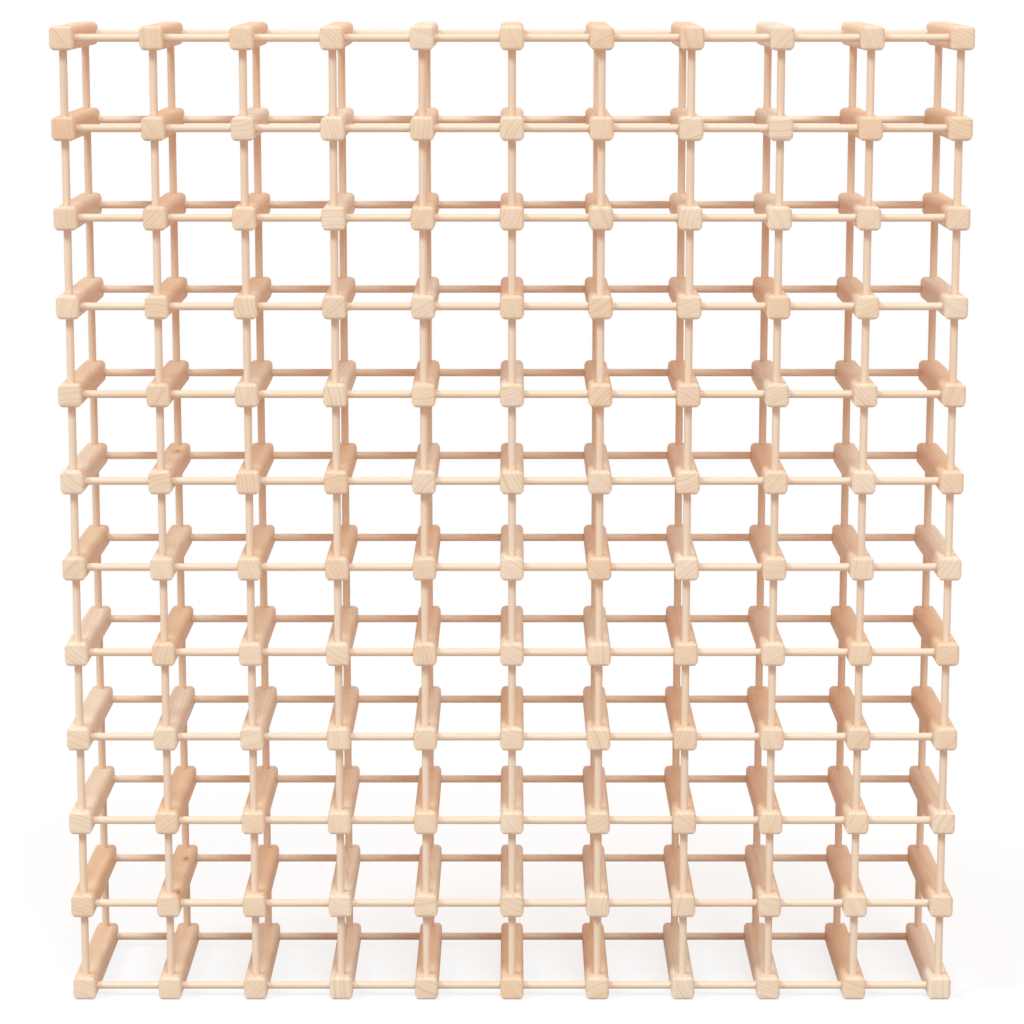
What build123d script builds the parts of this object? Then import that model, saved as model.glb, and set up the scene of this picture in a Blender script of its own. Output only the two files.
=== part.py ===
from build123d import *

import os
from functools import cache

# A stacking wine rack: square pine rails in columns and rows, held apart by round dowels.
# Every dowel sits in a blind socket at each end, so four dowels meet round a solid core
# near each end of a rail. A bottle lies in a cell, on the cross dowels.
# Millimetres, +Z up, X across the rack, the front towards -Y. The origin is on the floor
# under the middle of the rack.

# The grid
COLUMNS = 11
ROWS = 12
CELL_WIDTH = 78.0  # clear gap between two rails side by side
CELL_HEIGHT = 78.0  # clear gap between two rails one above the other

# The rails
RAIL_SIDE = 29.0
RAIL_LENGTH = 230.0
RAIL_EDGE_RADIUS = 7.5  # along the four long edges
RAIL_END_RADIUS = 4.0  # along the four edges of each end

# The dowels
DOWEL_DIAMETER = 9.5
DOWEL_INSET = 16.0  # from the end of a rail to the dowel's axis

# The blind sockets
SOCKET_CLEARANCE = 0.1  # round the dowel, on its radius
CORE_WALL = 2.0  # wood between a socket's floor and the sockets square to it

# What follows from those sizes
column_pitch = CELL_WIDTH + RAIL_SIDE
row_pitch = CELL_HEIGHT + RAIL_SIDE
dowel_y = RAIL_LENGTH / 2 - DOWEL_INSET
socket_radius = DOWEL_DIAMETER / 2 + SOCKET_CLEARANCE
socket_floor = socket_radius + CORE_WALL  # from the rail's axis

OUTWARD = {"above": (0, 0, 1), "right": (1, 0, 0), "below": (0, 0, -1), "left": (-1, 0, 0)}
DOWEL_PLANES = {"front": -dowel_y, "rear": dowel_y}


def column_x(column):
    """Middle of a column of rails, counted from 0 at the left."""
    return (column - (COLUMNS - 1) / 2) * column_pitch


def row_z(row):
    """Middle of a row of rails, counted from 0 at the floor."""
    return RAIL_SIDE / 2 + row * row_pitch


@cache
def rail_blank():
    """A square bar along Y with rounded long edges. A straight pass on each side eases its ends."""
    outlines = {
        "front": Plane.XZ * RectangleRounded(RAIL_SIDE, RAIL_SIDE, RAIL_EDGE_RADIUS),
        "side": Plane.YZ * RectangleRounded(RAIL_LENGTH, RAIL_SIDE, RAIL_END_RADIUS),
        "top": Plane.XY * RectangleRounded(RAIL_SIDE, RAIL_LENGTH, RAIL_END_RADIUS),
    }
    bars = {view: extrude(outline, RAIL_LENGTH / 2, both=True) for view, outline in outlines.items()}
    return bars["front"] & bars["side"] & bars["top"]


def socket_drill(side, y):
    """What a drill takes out for one blind socket in a side of a rail."""
    length = RAIL_SIDE - socket_floor  # well past the rail's face
    drill = Cylinder(socket_radius, length, align=(Align.CENTER, Align.CENTER, Align.MIN))
    return Plane((0, y, 0), z_dir=OUTWARD[side]) * Pos(0, 0, socket_floor) * drill


@cache
def rail(sides):
    """A rail with a front and a rear socket in each of the named sides."""
    drills = [socket_drill(side, y) for side in sides for y in DOWEL_PLANES.values()]
    return (rail_blank() - drills).solid()


def sides_with_neighbours(column, row):
    """The sides of a rail that face another rail. The outside of the rack is plain."""
    faces_a_rail = {
        "above": row < ROWS - 1,
        "right": column < COLUMNS - 1,
        "below": row > 0,
        "left": column > 0,
    }
    return tuple(side for side, faces in faces_a_rail.items() if faces)


@cache
def dowel(pitch):
    """A round dowel along Z that seats on the socket floors of two rails a pitch apart."""
    return Cylinder(DOWEL_DIAMETER / 2, pitch - 2 * socket_floor).solid()


def row_of_rails(row):
    return [
        Pos(column_x(column), 0, row_z(row)) * rail(sides_with_neighbours(column, row))
        for column in range(COLUMNS)
    ]


def row_of_cross_dowels(row, y):
    """Level dowels, one between each two columns."""
    lying = Plane.YZ * dowel(column_pitch)
    return [
        Pos(column_x(column) + column_pitch / 2, y, row_z(row)) * lying
        for column in range(COLUMNS - 1)
    ]


def tier_of_upright_dowels(tier, y):
    """Standing dowels between a row of rails and the next row up, one in each column."""
    return [
        Pos(column_x(column), y, row_z(tier) + row_pitch / 2) * dowel(row_pitch)
        for column in range(COLUMNS)
    ]


def write_node(name, solids):
    export_step(Compound(solids), f"parts/{name}.step")


os.makedirs("parts", exist_ok=True)
for row in range(ROWS):
    write_node(f"rails_row_{row + 1:02d}", row_of_rails(row))
    for plane, y in DOWEL_PLANES.items():
        write_node(f"{plane}_cross_dowels_row_{row + 1:02d}", row_of_cross_dowels(row, y))
for tier in range(ROWS - 1):
    for plane, y in DOWEL_PLANES.items():
        write_node(f"{plane}_upright_dowels_tier_{tier + 1:02d}", tier_of_upright_dowels(tier, y))
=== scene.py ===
import math
import random
from functools import cache

import bpy
import numpy as np
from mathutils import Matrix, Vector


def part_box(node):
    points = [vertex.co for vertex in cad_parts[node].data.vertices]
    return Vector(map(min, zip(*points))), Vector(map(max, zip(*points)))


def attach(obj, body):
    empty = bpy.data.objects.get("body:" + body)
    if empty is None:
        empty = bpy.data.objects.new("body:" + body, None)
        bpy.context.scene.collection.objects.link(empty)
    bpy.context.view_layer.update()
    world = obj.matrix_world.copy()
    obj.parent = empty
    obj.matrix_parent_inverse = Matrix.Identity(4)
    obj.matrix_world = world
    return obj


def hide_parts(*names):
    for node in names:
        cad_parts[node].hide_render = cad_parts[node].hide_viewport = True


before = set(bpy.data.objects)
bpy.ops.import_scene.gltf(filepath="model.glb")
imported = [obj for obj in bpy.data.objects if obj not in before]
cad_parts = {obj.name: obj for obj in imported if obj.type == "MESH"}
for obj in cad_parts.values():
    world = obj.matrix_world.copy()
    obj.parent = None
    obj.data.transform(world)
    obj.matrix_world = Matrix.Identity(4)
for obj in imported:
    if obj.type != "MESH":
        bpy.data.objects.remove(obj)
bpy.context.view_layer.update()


# Rails: short square bars of planed pine that point front to back, rounded along the edges and eased
# at both ends. Each is drilled with blind sockets, front and rear, in the sides that face another rail.
# They are sawn from many boards, so rings, tone and knots differ from one rail to the next.
COLUMNS = 11
ROWS = 12
EDGE_RADIUS = 0.0075  # along the four long edges
END_RADIUS = 0.004  # along the four edges of each end
DOWEL_RADIUS = 0.00475
SOCKET_CLEARANCE = 0.0001  # round the dowel, on its radius
SOCKET_CHAMFER = 0.0003
FLAT_STEPS = 6  # across a flat side, and along it over a socket
ARC_STEPS = 5  # round a long edge
END_STEPS = 7  # round the edge of an end
MIDDLE_STEPS = 6  # along the plain middle
SAME_PLACE = 7  # points that agree in this many decimals of a metre are one
SHARP_ANGLE = 25  # faces that turn by more degrees than this meet in a crisp edge

row_low, row_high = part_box("rails_row_01")
row_above_low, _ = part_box("rails_row_02")
cross_low, cross_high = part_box("rear_cross_dowels_row_01")
upright_low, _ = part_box("rear_upright_dowels_tier_01")
rail_side = row_high.z - row_low.z
rail_length = row_high.y - row_low.y
flat_half = rail_side / 2 - EDGE_RADIUS
column_pitch = (row_high.x - row_low.x - rail_side) / (COLUMNS - 1)
row_pitch = row_above_low.z - row_low.z
dowel_y = (cross_low.y + cross_high.y) / 2
socket_radius = DOWEL_RADIUS + SOCKET_CLEARANCE
socket_floor = upright_low.z - (row_low.z + row_high.z) / 2  # from the rail's axis


def column_x(column):
    """Middle of a column of rails, counted from 0 at the left."""
    return (column - (COLUMNS - 1) / 2) * column_pitch


def row_z(row):
    """Middle of a row of rails, counted from 0 at the floor."""
    return rail_side / 2 + row * row_pitch


def rail_section(reach):
    """Outline across a rail, round from its right side, where its sides reach this far from its axis."""
    # Near an end the eased sides cut into the round edges, so each arc starts later and ends sooner.
    start = min(math.acos(min((reach - flat_half) / EDGE_RADIUS, 1)), math.pi / 4)
    turn = np.linspace(start, math.pi / 2 - start, ARC_STEPS, endpoint=False)
    flat_end = min(reach, flat_half + EDGE_RADIUS * math.sin(start))
    along_flat = np.linspace(-flat_end, flat_end, FLAT_STEPS, endpoint=False)
    x = np.append(np.full(FLAT_STEPS, reach), np.minimum(flat_half + EDGE_RADIUS * np.cos(turn), reach))
    z = np.append(along_flat, np.minimum(flat_half + EDGE_RADIUS * np.sin(turn), reach))
    quarters = []
    for _ in range(4):
        quarters.append(np.column_stack([x, z]))
        x, z = -z, x
    return np.concatenate(quarters)


def rail_stations():
    """Places along a rail, front to rear, each with how far its sides reach there from its axis."""
    full = rail_side / 2
    turns = np.linspace(0, math.pi / 2, END_STEPS + 1)
    eased = [
        (END_RADIUS * (1 - math.cos(t)) - rail_length / 2, full - END_RADIUS * (1 - math.sin(t)))
        for t in turns
    ]
    over_socket = [(y - dowel_y, full) for y in np.linspace(-flat_half, flat_half, FLAT_STEPS + 1)]
    plain = np.linspace(flat_half - dowel_y, dowel_y - flat_half, MIDDLE_STEPS + 1)[1:-1]
    front = eased + over_socket
    return front + [(y, full) for y in plain] + [(-y, reach) for y, reach in reversed(front)]


def add_socket(points, faces, rim, side):
    """Drills a blind socket inside the square of points named by rim, in the side with this number."""
    quarter = side * math.pi / 2
    outward = np.array([math.cos(quarter), 0.0, math.sin(quarter)])
    middle = np.mean([points[i] for i in rim], axis=0)
    axis_foot = middle - outward * (rail_side / 2)
    rings = [rim]
    for radius, height in (
        (socket_radius + SOCKET_CHAMFER, rail_side / 2),
        (socket_radius, rail_side / 2 - SOCKET_CHAMFER),
        (socket_radius, socket_floor),
    ):
        ring = []
        for i in rim:
            spoke = points[i] - middle
            ring.append(len(points))
            points.append(axis_foot + outward * height + spoke / np.linalg.norm(spoke) * radius)
        rings.append(ring)
    for outer, inner in zip(rings, rings[1:]):
        for k in range(len(rim)):
            n = (k + 1) % len(rim)
            faces.append((outer[k], outer[n], inner[n], inner[k]))
    faces.append(tuple(rings[-1]))


def join_repeats(points, faces):
    """Joins points that share a place, as at an end's corners, and drops the faces that this closes up."""
    kept, number, joined = [], {}, []
    for point in points:
        place = tuple(np.round(point, SAME_PLACE))
        if place not in number:
            number[place] = len(kept)
            kept.append(point)
        joined.append(number[place])
    open_faces = []
    for face in faces:
        corners = [joined[i] for i in face]
        corners = [this for this, before in zip(corners, corners[-1:] + corners) if this != before]
        if len(corners) > 2:
            open_faces.append(tuple(corners))
    return np.array(kept), open_faces


@cache
def rail_shape(sides):
    """One rail about its own middle, drilled in these sides: 0 right, 1 above, 2 left, 3 below."""
    stations = rail_stations()
    side_steps = FLAT_STEPS + ARC_STEPS
    around = 4 * side_steps
    points = [np.array([x, y, z]) for y, reach in stations for x, z in rail_section(reach)]
    front_socket = END_STEPS + 1
    rear_socket = len(stations) - 1 - front_socket - FLAT_STEPS
    drilled = {(first, side * side_steps) for first in (front_socket, rear_socket) for side in sides}
    open_cells = {
        (first + s, start + j)
        for first, start in drilled
        for s in range(FLAT_STEPS)
        for j in range(FLAT_STEPS)
    }

    def at(station, j):
        return station * around + j % around

    faces = [tuple(range(around)), tuple(reversed(range(at(len(stations) - 1, 0), len(points))))]
    for s in range(len(stations) - 1):
        for j in range(around):
            if (s, j) not in open_cells:
                faces.append((at(s, j), at(s + 1, j), at(s + 1, j + 1), at(s, j + 1)))
    for first, start in sorted(drilled):
        last, end = first + FLAT_STEPS, start + FLAT_STEPS
        steps = range(FLAT_STEPS)
        rim = (
            [at(first + k, start) for k in steps]
            + [at(last, start + k) for k in steps]
            + [at(last - k, end) for k in steps]
            + [at(first, end - k) for k in steps]
        )
        add_socket(points, faces, rim, start // side_steps)
    return join_repeats(points, faces)


def mesh_of(name, shapes):
    """One mesh of separate pieces. Each shape holds points, faces and named values for its points."""
    points, faces, values, start = [], [], {}, 0
    for shape_points, shape_faces, shape_values in shapes:
        points.append(shape_points)
        faces.extend(tuple(start + i for i in face) for face in shape_faces)
        for key, value in shape_values.items():
            values.setdefault(key, []).append(np.broadcast_to(value, shape_points.shape))
        start += len(shape_points)
    mesh = bpy.data.meshes.new(name)
    mesh.from_pydata(np.concatenate(points).tolist(), [], faces)
    for key, value in values.items():
        layer = mesh.attributes.new(key, "FLOAT_VECTOR", "POINT")
        layer.data.foreach_set("vector", np.concatenate(value).astype(np.float32).ravel())
    mesh.shade_smooth()
    mesh.set_sharp_from_angle(angle=math.radians(SHARP_ANGLE))
    mesh.update()
    return mesh


def add_piece(name, shapes, material):
    """A new object in the scene, of these shapes in this material."""
    piece = bpy.data.objects.new(name, mesh_of(name, shapes))
    piece.data.materials.append(material)
    bpy.context.scene.collection.objects.link(piece)
    return piece


FROM_HEART = (0.035, 0.13)  # nearest and farthest that a piece's middle lay from the heart of its log
OFF_LINE = 0.03  # the steepest slope of a piece to its log
LOG_LENGTH = 40.0  # pieces come from anywhere along this much of it


def place_in_log(draw, across, along, up):
    """Where points of a sawn piece lay in the log: x and z from its heart, y along it."""
    turn = draw.uniform(0, 2 * math.pi)
    from_heart = draw.uniform(*FROM_HEART)
    slope_x = draw.uniform(-OFF_LINE, OFF_LINE)
    slope_z = draw.uniform(-OFF_LINE, OFF_LINE)
    x = across * math.cos(turn) - up * math.sin(turn) + from_heart + slope_x * along
    z = across * math.sin(turn) + up * math.cos(turn) + slope_z * along
    return np.column_stack([x, along + draw.uniform(0, LOG_LENGTH), z])


def shader_node(tree, kind, settings=None, **inputs):
    """A new node. An input is a value or the socket that feeds it, and _ stands for a space in its name."""
    made = tree.nodes.new("ShaderNode" + kind)
    for name, value in (settings or {}).items():
        setattr(made, name, value)
    for name, value in inputs.items():
        feed(tree, made.inputs[name.replace("_", " ")], value)
    return made


def feed(tree, socket, value):
    """Feeds a socket from another one, or sets it to a number or a colour."""
    if isinstance(value, bpy.types.NodeSocket):
        tree.links.new(value, socket)
    else:
        socket.default_value = value


def maths(tree, operation, *values, clamp=False):
    made = shader_node(tree, "Math", {"operation": operation, "use_clamp": clamp})
    for socket, value in zip(made.inputs, values):
        feed(tree, socket, value)
    return made.outputs[0]


def vector_maths(tree, operation, *values):
    made = shader_node(tree, "VectorMath", {"operation": operation})
    for socket, value in zip(made.inputs, values):
        feed(tree, socket, value)
    return made.outputs["Value" if operation == "LENGTH" else "Vector"]


def mixed_colour(tree, share, first, second):
    made = shader_node(tree, "Mix", {"data_type": "RGBA"})
    for index, value in ((0, share), (6, first), (7, second)):  # sockets of the node for colours
        feed(tree, made.inputs[index], value)
    return made.outputs[2]


def ranged(tree, value, low, high, to_low=0.0, to_high=1.0):
    """A smooth step from to_low, where value is low, to to_high, where it is high."""
    made = shader_node(
        tree, "MapRange", {"interpolation_type": "SMOOTHSTEP"},
        Value=value, From_Min=low, From_Max=high, To_Min=to_low, To_Max=to_high,
    )
    return made.outputs["Result"]


def noise(tree, place, bumps, detail=2.0, roughness=0.5):
    """Noise over a place in the log, with the number of bumps per metre across, along and up."""
    scaled = vector_maths(tree, "MULTIPLY", place, bumps)
    made = shader_node(tree, "TexNoise", None, Vector=scaled, Scale=1.0, Detail=detail, Roughness=roughness)
    return made.outputs["Fac"]


def swing(tree, value, reach):
    """Noise between 0 and 1 as a swing of this reach to both sides of 0."""
    return maths(tree, "MULTIPLY_ADD", value, 2 * reach, -reach)


# Grain of the log. A pair is where something starts and where it is full or gone. Three numbers are the
# bumps of a noise per metre across, along and up.
RING_BUMPS = (11, 5, 11)
RING_WANDER = 0.007  # how far a ring strays from a circle
SPELLS = 140.0  # of good and poor years, per metre from the heart
SPELL_SHIFT = 1.6  # by how many rings they crowd or spread the rest
LATE_WOOD_STARTS = (0.20, 0.86)  # shares of a year's growth, as the next
LATE_WOOD_ENDS = (0.88, 1.0)
PALEST_YEAR = 0.25  # its late wood, as a share of the darkest year's
FIBRE_BUMPS = (1500, 22, 1500)
FLECK_BUMPS = (620, 26, 620)
FLECK_NOISE = (0.66, 0.76)
MOTTLE_BUMPS = (26, 8, 26)
KNOT_BUMPS = (260, 200, 260)
KNOT_RAGGED = 0.0015  # how far its outline strays
KNOT_HEART_OUT = (0.0022, 0.0036)  # from the middle of the knot, as the next three
KNOT_RIM_IN = (0.0020, 0.0036)
KNOT_RIM_OUT = (0.0036, 0.0100)
SWELL_OUT = (0.003, 0.018)
SWELL = 0.010  # how far rings bend out round a knot


def pine_grain_group():
    """Grain of sawn pine at a place in the log: masks of late wood, fibres, flecks, knots and clouds."""
    tree = bpy.data.node_groups.new("pine grain", "ShaderNodeTree")
    for name in ("Place", "From Knot"):
        tree.interface.new_socket(name, in_out="INPUT", socket_type="NodeSocketVector")
    tree.interface.new_socket("Ring Width", in_out="INPUT", socket_type="NodeSocketFloat")
    for name in ("Late Wood", "Fibre", "Fleck", "Knot", "Knot Rim", "Mottle"):
        tree.interface.new_socket(name, in_out="OUTPUT", socket_type="NodeSocketFloat")
    given = tree.nodes.new("NodeGroupInput").outputs
    out = tree.nodes.new("NodeGroupOutput").inputs
    place = given["Place"]

    ragged = swing(tree, noise(tree, place, KNOT_BUMPS), KNOT_RAGGED)
    knot_away = maths(tree, "ADD", vector_maths(tree, "LENGTH", given["From Knot"]), ragged)
    swell = maths(tree, "MULTIPLY", ranged(tree, knot_away, *SWELL_OUT, 1.0, 0.0), SWELL)
    wander = swing(tree, noise(tree, place, RING_BUMPS, detail=3.0), RING_WANDER)
    flat_place = vector_maths(tree, "MULTIPLY", place, (1, 0, 1))
    from_heart = maths(tree, "ADD", vector_maths(tree, "LENGTH", flat_place), wander)
    from_heart = maths(tree, "ADD", from_heart, swell)
    spells = shader_node(
        tree, "TexNoise", {"noise_dimensions": "1D"}, W=from_heart, Scale=SPELLS, Detail=1.0,
    ).outputs["Fac"]
    rings = maths(tree, "DIVIDE", from_heart, given["Ring Width"])
    age = maths(tree, "MULTIPLY_ADD", spells, SPELL_SHIFT, rings)
    through_year = maths(tree, "FRACT", age)
    starting = ranged(tree, through_year, *LATE_WOOD_STARTS)
    ending = ranged(tree, through_year, *LATE_WOOD_ENDS, 1.0, 0.0)
    year = shader_node(tree, "TexWhiteNoise", {"noise_dimensions": "1D"}, W=maths(tree, "FLOOR", age))
    depth = maths(tree, "MULTIPLY_ADD", year.outputs["Value"], 1 - PALEST_YEAR, PALEST_YEAR)
    late_wood = maths(tree, "MULTIPLY", maths(tree, "MULTIPLY", starting, ending), depth)
    feed(tree, out["Late Wood"], late_wood)
    feed(tree, out["Fibre"], noise(tree, place, FIBRE_BUMPS, detail=3.0, roughness=0.6))
    feed(tree, out["Fleck"], ranged(tree, noise(tree, place, FLECK_BUMPS, detail=1.0), *FLECK_NOISE))
    feed(tree, out["Knot"], ranged(tree, knot_away, *KNOT_HEART_OUT, 1.0, 0.0))
    rim_in = ranged(tree, knot_away, *KNOT_RIM_IN)
    rim_out = ranged(tree, knot_away, *KNOT_RIM_OUT, 1.0, 0.0)
    feed(tree, out["Knot Rim"], maths(tree, "MULTIPLY", rim_in, rim_out))
    feed(tree, out["Mottle"], noise(tree, place, MOTTLE_BUMPS, detail=3.0))
    return tree


pine_grain = pine_grain_group()

# Finish of bare pine. A share is how much of a stain's colour shows where the grain is strongest.
CLOUD = 0.45  # how far clouds move the tone towards pale or warm
LATE_WOOD_SHARE = 0.6
FIBRE_NOISE = (0.45, 0.75)
FIBRE_SHARE = 0.18
FIBRE_COLOUR = (0.66, 0.43, 0.27, 1)
FLECK_SHARE = 0.25
FLECK_COLOUR = (0.50, 0.29, 0.16, 1)
KNOT_RIM_SHARE = 0.6
KNOT_RIM_COLOUR = (0.68, 0.34, 0.14, 1)
KNOT_HEART_SHARE = 0.8
KNOT_HEART_COLOUR = (0.40, 0.15, 0.05, 1)
ROUGHNESS = 0.46
FIBRE_ROUGHER = 0.22
LATE_WOOD_SMOOTHER = 0.08
FIBRE_RELIEF = 1.5  # as a share of the late wood's
RELIEF_STRENGTH = 0.3
RELIEF_HEIGHT = 0.00015
GLOSS = 0.35


def pine_material(name, ring_width, pale, warm, late, contrast):
    """Bare pine between a pale and a warm tone. Contrast sets how strongly its grain shows."""
    material = bpy.data.materials.new(name)
    material.use_nodes = True
    tree = material.node_tree
    shader = tree.nodes["Principled BSDF"]
    place = shader_node(tree, "Attribute", {"attribute_name": "log_place"}).outputs["Vector"]
    knot = shader_node(tree, "Attribute", {"attribute_name": "from_knot"}).outputs["Vector"]
    board = shader_node(tree, "Attribute", {"attribute_name": "board"}).outputs["Vector"]
    board = shader_node(tree, "SeparateXYZ", None, Vector=board).outputs  # warmth, lightness, ring width
    grain = shader_node(
        tree, "Group", {"node_tree": pine_grain}, Place=place, From_Knot=knot,
        Ring_Width=maths(tree, "MULTIPLY", board["Z"], ring_width),
    ).outputs

    def stained(colour, mask, share, stain):
        return mixed_colour(tree, maths(tree, "MULTIPLY", mask, share), colour, stain)

    cloud = swing(tree, grain["Mottle"], CLOUD * contrast)
    colour = mixed_colour(tree, maths(tree, "ADD", board["X"], cloud, clamp=True), pale, warm)
    colour = stained(colour, grain["Late Wood"], LATE_WOOD_SHARE * contrast, late)
    fibre = ranged(tree, grain["Fibre"], *FIBRE_NOISE)
    colour = stained(colour, fibre, FIBRE_SHARE * contrast, FIBRE_COLOUR)
    colour = stained(colour, grain["Fleck"], FLECK_SHARE * contrast, FLECK_COLOUR)
    colour = shader_node(tree, "HueSaturation", None, Value=board["Y"], Color=colour).outputs["Color"]
    colour = stained(colour, grain["Knot Rim"], KNOT_RIM_SHARE, KNOT_RIM_COLOUR)
    colour = stained(colour, grain["Knot"], KNOT_HEART_SHARE, KNOT_HEART_COLOUR)
    feed(tree, shader.inputs["Base Color"], colour)
    rough = maths(tree, "MULTIPLY_ADD", grain["Fibre"], FIBRE_ROUGHER, ROUGHNESS)
    rough = maths(tree, "MULTIPLY_ADD", grain["Late Wood"], -LATE_WOOD_SMOOTHER, rough)
    feed(tree, shader.inputs["Roughness"], rough)
    relief = maths(tree, "MULTIPLY_ADD", grain["Fibre"], FIBRE_RELIEF, grain["Late Wood"])
    bump = shader_node(tree, "Bump", None, Strength=RELIEF_STRENGTH, Distance=RELIEF_HEIGHT, Height=relief)
    feed(tree, shader.inputs["Normal"], bump.outputs["Normal"])
    shader.inputs["Specular IOR Level"].default_value = GLOSS
    return material


planed_pine = pine_material(
    "planed pine",
    ring_width=0.0042,
    pale=(0.87, 0.71, 0.565, 1),
    warm=(0.84, 0.555, 0.36, 1),
    late=(0.74, 0.46, 0.28, 1),
    contrast=1.0,
)

NO_KNOT = (1.0, 1.0, 1.0)  # so far from a knot that none shows
KNOT_STRETCH = 0.38  # a knot is longer along the rail than across it
KNOT_REACH = 0.02  # grain farther than this from a knot runs straight
KNOTS = {  # by column and row from 0, in metres from the middle of the rail
    # The second knot on (1, 1) sits right of the front upright's base, where its shadow falls: partly
    # painted shadow.
    (1, 1): [(0.006, 0.046, 0.0145), (0.011, -0.098, 0.0135)],
    (1, 6): [(0.005, 0.040, 0.0145)],
    (0, 8): [(-0.0145, 0.020, -0.004)],
    (10, 3): [(0.0145, -0.031, 0.003)],
    (4, 5): [(0.004, 0.115, -0.003)],
    (7, 9): [(-0.003, 0.055, -0.0145)],
    (8, 2): [(0.0145, 0.060, -0.002)],
}


def from_near_knot(points, knots):
    """How each point lies from the knot that is near it, drawn in along the rail."""
    from_knot = np.broadcast_to(NO_KNOT, points.shape)
    for knot in knots:
        away = (points - knot) * (1, KNOT_STRETCH, 1)
        near = np.linalg.norm(away, axis=1, keepdims=True) < KNOT_REACH
        from_knot = np.where(near, away, from_knot)
    return from_knot


def sides_with_neighbours(column, row):
    """The sides of a rail that face another rail. The outside of the rack is plain."""
    faces_a_rail = (column < COLUMNS - 1, row < ROWS - 1, column > 0, row > 0)
    return tuple(side for side, faces in enumerate(faces_a_rail) if faces)


# Boards of the rails. Warmth and lightness are a middle value and its spread over the boards.
RAIL_WARMTH = (0.72, 0.5)  # 0 is pale and 1 is warm
RAIL_LIGHTNESS = (1.0, 0.012)
RING_WIDTHS = (0.75, 1.5)  # narrowest and widest, as shares of the material's
# Painted light: the ends are painted paler, as lit wood looks, and the warmer rest as shaded wood looks.
PAINTED_LIGHT_REACH = 0.025  # how far from an end it turns paler
PAINTED_LIGHT_PALER = 0.67  # share of its warmth that is gone at the end


def rail_board(draw, points):
    """Warmth, lightness and ring width of a rail's board. Its ends are painted paler than the rest, as
    painted light.
    """
    warmth = draw.gauss(*RAIL_WARMTH)
    from_end = rail_length / 2 - np.abs(points[:, 1])
    painted_light_share = np.clip(1 - from_end / PAINTED_LIGHT_REACH, 0, 1)
    board = np.empty(points.shape)
    board[:, 0] = warmth * (1 - PAINTED_LIGHT_PALER * painted_light_share)
    board[:, 1] = draw.gauss(*RAIL_LIGHTNESS)
    board[:, 2] = draw.uniform(*RING_WIDTHS)
    return board


draw = random.Random(516)  # always the same boards
for row in range(ROWS):
    shapes = []
    for column in range(COLUMNS):
        points, faces = rail_shape(sides_with_neighbours(column, row))
        across, along, up = points.T
        values = {
            "log_place": place_in_log(draw, across, along, up),
            "from_knot": from_near_knot(points, KNOTS.get((column, row), [])),
            "board": rail_board(draw, points),
        }
        shapes.append((points + (column_x(column), 0, row_z(row)), faces, values))
    rails = add_piece(f"pine_rails_row_{row + 1:02d}", shapes, planed_pine)
    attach(rails, "root")
    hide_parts(f"rails_row_{row + 1:02d}")


# Cross dowels: thin turned pine rods that lie level between two rails of a row, one near the front and
# one near the rear. Their ends are eased and sit in the blind sockets. A bottle lies across the pair.
DOWEL_SIDES = 28
DOWEL_CHAMFER = 0.0006
DOWEL_WARMTH = (0.4, 0.1)
DOWEL_LIGHTNESS = (1.0, 0.01)
DOWEL_PLANES = {"front": -dowel_y, "rear": dowel_y}


def dowel_shape(length):
    """Points and faces of a dowel along Z about its own middle, with eased ends."""
    half = length / 2
    rings = (
        (-half, DOWEL_RADIUS - DOWEL_CHAMFER),
        (DOWEL_CHAMFER - half, DOWEL_RADIUS),
        (0, DOWEL_RADIUS),
        (half - DOWEL_CHAMFER, DOWEL_RADIUS),
        (half, DOWEL_RADIUS - DOWEL_CHAMFER),
    )
    turns = np.linspace(0, 2 * math.pi, DOWEL_SIDES, endpoint=False)
    points = [(radius * math.cos(t), radius * math.sin(t), z) for z, radius in rings for t in turns]
    top = (len(rings) - 1) * DOWEL_SIDES
    faces = [tuple(reversed(range(DOWEL_SIDES))), tuple(range(top, top + DOWEL_SIDES))]
    for ring in range(len(rings) - 1):
        for k in range(DOWEL_SIDES):
            low = ring * DOWEL_SIDES + k
            next_low = ring * DOWEL_SIDES + (k + 1) % DOWEL_SIDES
            faces.append((low, next_low, next_low + DOWEL_SIDES, low + DOWEL_SIDES))
    return np.array(points), faces


def dowel_values(draw, points):
    """Grain of one dowel along Z, and its warmth, lightness and ring width."""
    across, up, along = points.T
    return {
        "log_place": place_in_log(draw, across, along, up),
        "from_knot": np.array(NO_KNOT),
        "board": np.array(
            [draw.gauss(*DOWEL_WARMTH), draw.gauss(*DOWEL_LIGHTNESS), draw.uniform(*RING_WIDTHS)]
        ),
    }


turned_pine = pine_material(
    "turned pine",
    ring_width=0.0036,
    pale=(0.87, 0.71, 0.575, 1),
    warm=(0.84, 0.62, 0.46, 1),
    late=(0.76, 0.50, 0.325, 1),
    contrast=0.55,
)
cross_points, cross_faces = dowel_shape(column_pitch - 2 * socket_floor)
lying_points = cross_points[:, [2, 0, 1]]
for row in range(ROWS):
    for plane, y in DOWEL_PLANES.items():
        shapes = []
        for cell in range(COLUMNS - 1):
            middle = (column_x(cell) + column_pitch / 2, y, row_z(row))
            shapes.append((lying_points + middle, cross_faces, dowel_values(draw, cross_points)))
        dowels = add_piece(f"pine_cross_dowels_{plane}_{row + 1:02d}", shapes, turned_pine)
        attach(dowels, "root")
        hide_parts(f"{plane}_cross_dowels_row_{row + 1:02d}")


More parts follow.
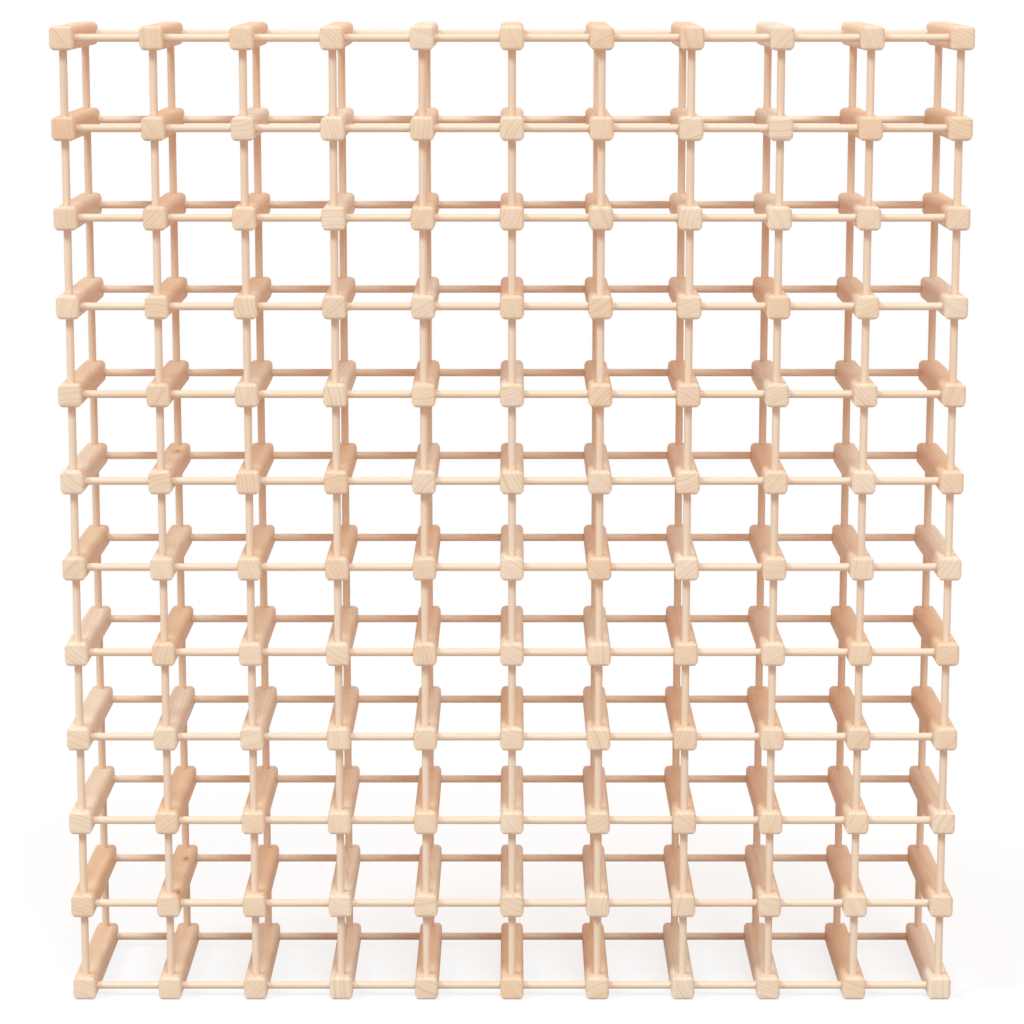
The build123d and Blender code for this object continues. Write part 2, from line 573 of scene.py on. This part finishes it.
# Upright dowels: the same turned rods standing between two rails of a column, front and rear. They
# carry each row on the one below, and their ends sit in the sockets on top of and under the rails.
upright_points, upright_faces = dowel_shape(row_pitch - 2 * socket_floor)
for tier in range(ROWS - 1):
    for plane, y in DOWEL_PLANES.items():
        shapes = []
        for column in range(COLUMNS):
            middle = (column_x(column), y, row_z(tier) + row_pitch / 2)
            shapes.append((upright_points + middle, upright_faces, dowel_values(draw, upright_points)))
        dowels = add_piece(f"pine_upright_dowels_{plane}_{tier + 1:02d}", shapes, turned_pine)
        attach(dowels, "root")
        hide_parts(f"{plane}_upright_dowels_tier_{tier + 1:02d}")


# Floor: a wide sheet of white studio paper under the rack. The camera sees it as white, with a faint
# shadow near the rack that fades with distance. Only a dim bounce from it reaches the rack.
FLOOR_WIDTH = 12.0
FLOOR_DROP = 0.0002  # below the rack, so that no two faces share a plane
PAPER_SHOWN = (0.95, 0.95, 0.95, 1)
PAPER_BOUNCE = (0.5, 0.5, 0.5, 1)
PAPER_ROUGHNESS = 0.9
SHADOW_SHARE = 0.2  # how much of the shadow shows at the rack
SHADOW_FADE = (0.5, 1.3)  # from the middle of the floor, where it starts to fade and is gone
WHITE = (1, 1, 1, 1)


def background_rays(tree):
    """1 for rays that show the background: those of the camera, mirrors and glass."""
    path = tree.nodes.new("ShaderNodeLightPath").outputs
    shown = maths(tree, "ADD", path["Is Camera Ray"], path["Is Glossy Ray"], clamp=True)
    return maths(tree, "ADD", shown, path["Is Transmission Ray"], clamp=True)


def studio_paper():
    """White matt paper on which only a share of the shadow shows."""
    material = bpy.data.materials.new("studio paper")
    material.use_nodes = True
    tree = material.node_tree
    shader = tree.nodes["Principled BSDF"]
    shader.inputs["Roughness"].default_value = PAPER_ROUGHNESS
    shader.inputs["Specular IOR Level"].default_value = 0.0
    shown = background_rays(tree)
    feed(tree, shader.inputs["Base Color"], mixed_colour(tree, shown, PAPER_BOUNCE, PAPER_SHOWN))
    away = vector_maths(tree, "LENGTH", tree.nodes.new("ShaderNodeNewGeometry").outputs["Position"])
    white_share = maths(tree, "MULTIPLY", shown, ranged(tree, away, *SHADOW_FADE, 1 - SHADOW_SHARE, 1.0))
    white = shader_node(tree, "Emission", None, Color=WHITE, Strength=1.0)
    blend = tree.nodes.new("ShaderNodeMixShader")
    for socket, value in zip(blend.inputs, (white_share, shader.outputs[0], white.outputs[0])):
        feed(tree, socket, value)
    feed(tree, tree.nodes["Material Output"].inputs["Surface"], blend.outputs[0])
    return material


corners = [(-1, -1), (1, -1), (1, 1), (-1, 1)]
floor_points = [(x * FLOOR_WIDTH / 2, y * FLOOR_WIDTH / 2, -FLOOR_DROP) for x, y in corners]
floor_mesh = bpy.data.meshes.new("studio_floor")
floor_mesh.from_pydata(floor_points, [], [(0, 1, 2, 3)])
floor_mesh.materials.append(studio_paper())
floor = bpy.data.objects.new("studio_floor", floor_mesh)
bpy.context.scene.collection.objects.link(floor)


# Studio light: two soft boxes far off, both high up, one in front a little to the right and one at the
# left, with a warm even fill from all round. The backdrop is white.
FILL = (1.0, 0.67, 0.535, 1)
FILL_LEVEL = 0.75
SOFT_BOX_COLOUR = (0.65, 0.93, 1.0)
SOFT_BOXES = {  # degrees to the right of the front, height, width as seen from the rack, and level
    "front": (15, 50, 20, 0.51),
    "left": (-60, 48, 12, 0.475),
}
world = bpy.data.worlds.new("studio")
bpy.context.scene.world = world
world.use_nodes = True
tree = world.node_tree
backdrop = tree.nodes["Background"].inputs
shown = background_rays(tree)
feed(tree, backdrop["Color"], mixed_colour(tree, shown, FILL, WHITE))
strength = shader_node(tree, "MapRange", None, Value=shown, To_Min=FILL_LEVEL, To_Max=1.0)
feed(tree, backdrop["Strength"], strength.outputs["Result"])
for name, (turn, height, width, level) in SOFT_BOXES.items():
    lamp = bpy.data.lights.new(f"soft_box_{name}", "SUN")
    lamp.angle = math.radians(width)
    lamp.energy = level * math.pi  # at level 1 a surface that faces the lamp shows its colour as written
    lamp.color = SOFT_BOX_COLOUR
    lamp_object = bpy.data.objects.new(lamp.name, lamp)
    lamp_object.rotation_euler = (math.radians(90 - height), 0, math.radians(turn))
    bpy.context.scene.collection.objects.link(lamp_object)


# Camera: a long lens in front of the middle of the rack, a little above its top row. It is aimed down,
# so that the whole rack is in the frame.
CAMERA_AWAY = 3.757  # from the front of the rails
CAMERA_HEIGHT = 1.2915
CAMERA_TILT = 10.12  # degrees
camera = bpy.data.cameras.new("camera")
camera.lens = 110.2
camera.sensor_width = 36.0
camera_object = bpy.data.objects.new("camera", camera)
camera_object.location = (0, -rail_length / 2 - CAMERA_AWAY, CAMERA_HEIGHT)
camera_object.rotation_euler = (math.radians(90 - CAMERA_TILT), 0, 0)
bpy.context.scene.collection.objects.link(camera_object)
bpy.context.scene.camera = camera_object

bpy.context.scene.view_settings.view_transform = "Standard"
